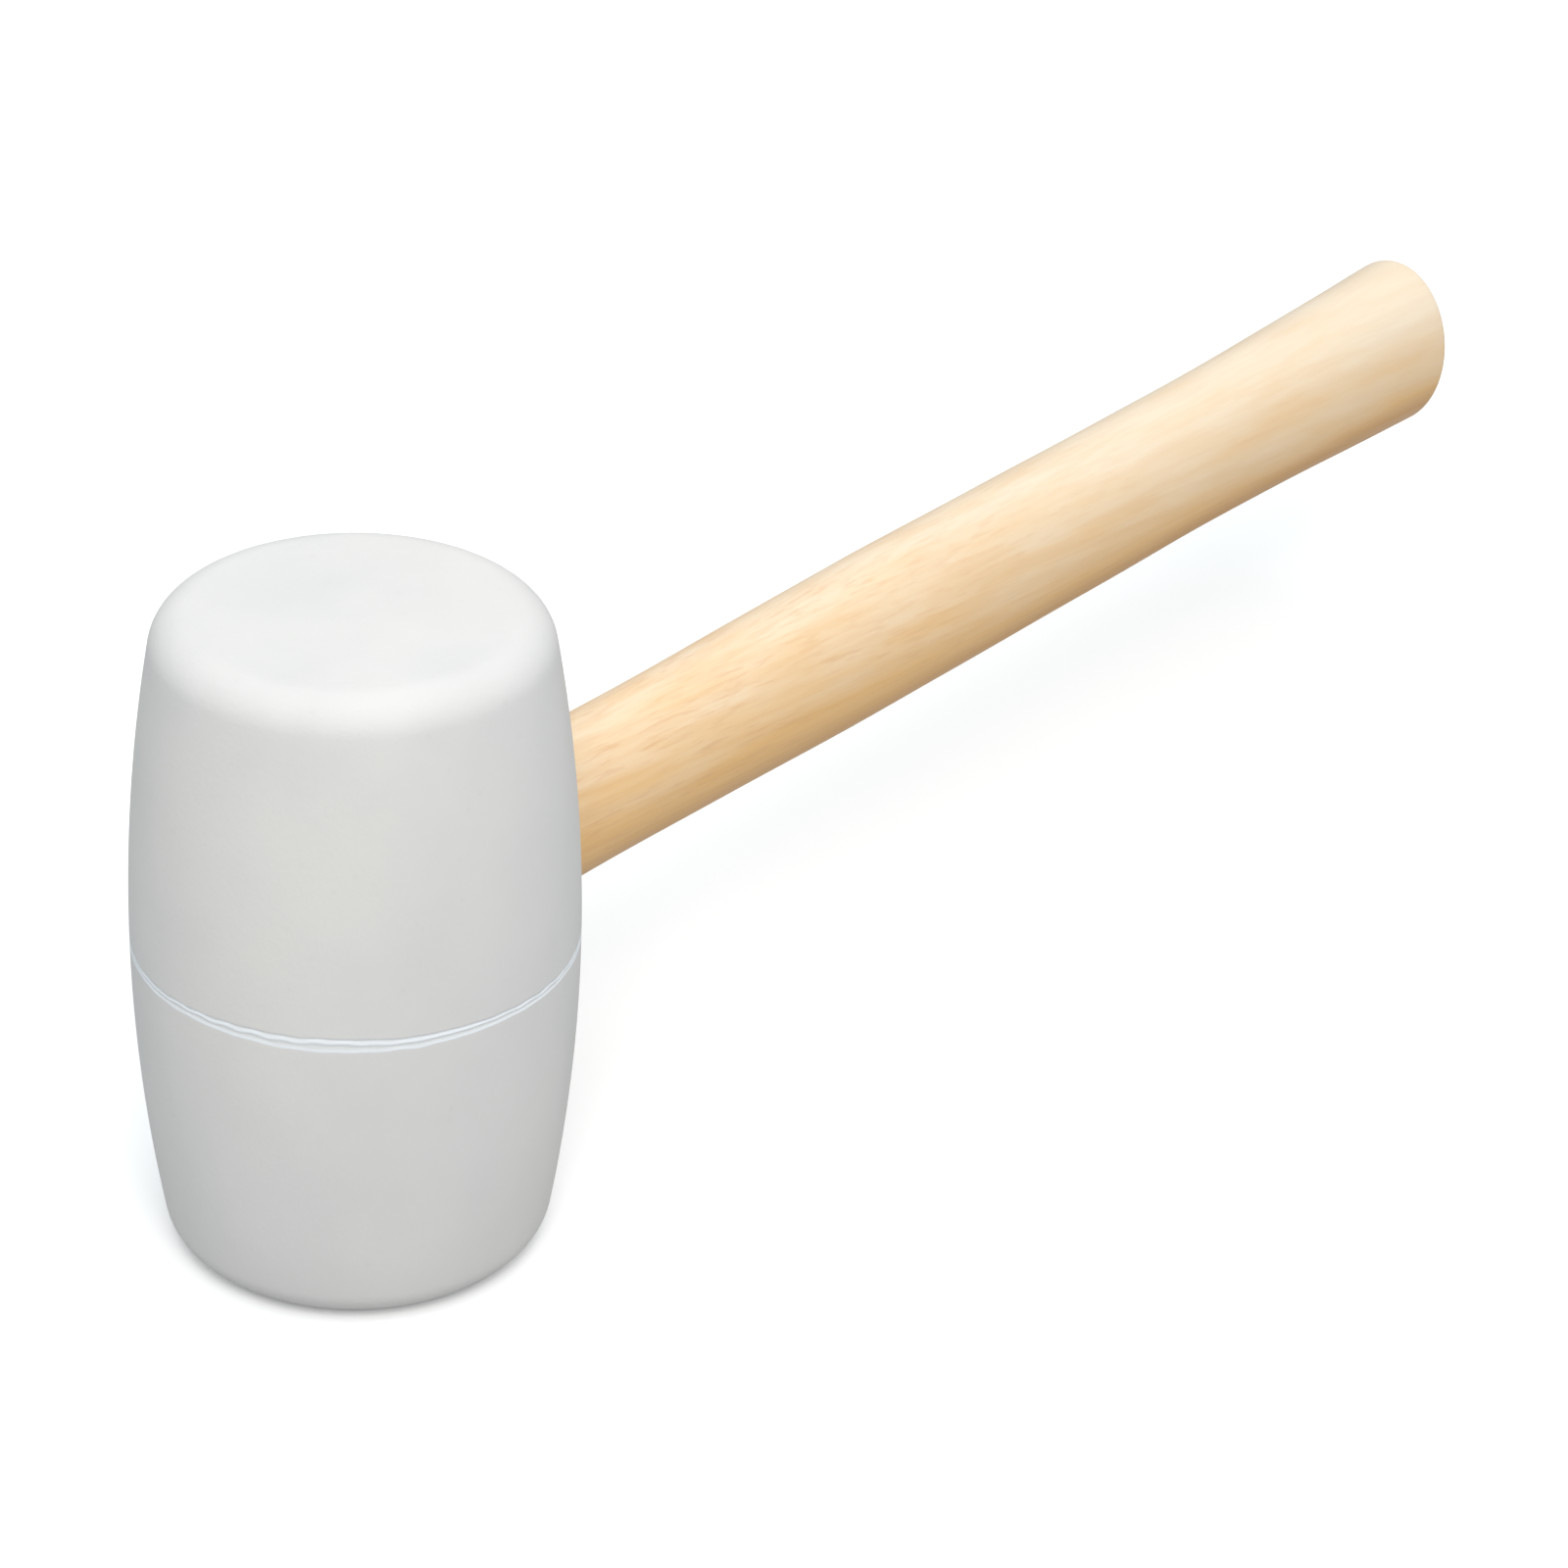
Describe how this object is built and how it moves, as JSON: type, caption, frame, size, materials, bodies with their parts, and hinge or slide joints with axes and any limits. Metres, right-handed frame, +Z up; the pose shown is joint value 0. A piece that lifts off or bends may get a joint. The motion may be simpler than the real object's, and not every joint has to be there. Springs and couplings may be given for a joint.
{
  "type": "rubber mallet",
  "caption": "White rubber barrel head with a parting groove round its middle, fixed blind on a pale oval wooden handle with a flared butt; strikes without marking.",
  "frame": {"origin": "centre of the lower striking face, which the mallet stands on", "axes": "+Z up the head's axis to the upper striking face; +X along the handle, from the head to the butt"},
  "size_m": [0.3555, 0.075, 0.117],
  "materials": {
    "white_rubber": "matte",
    "beech": "satin",
    "wedge_hardwood": "matte",
    "rubber_cement": "satin"
  },
  "bodies": {
    "root": {"rubber_head": "white_rubber", "handle": "beech", "fox_wedge": "wedge_hardwood", "cement": "rubber_cement"}
  },
  "joints": []
}
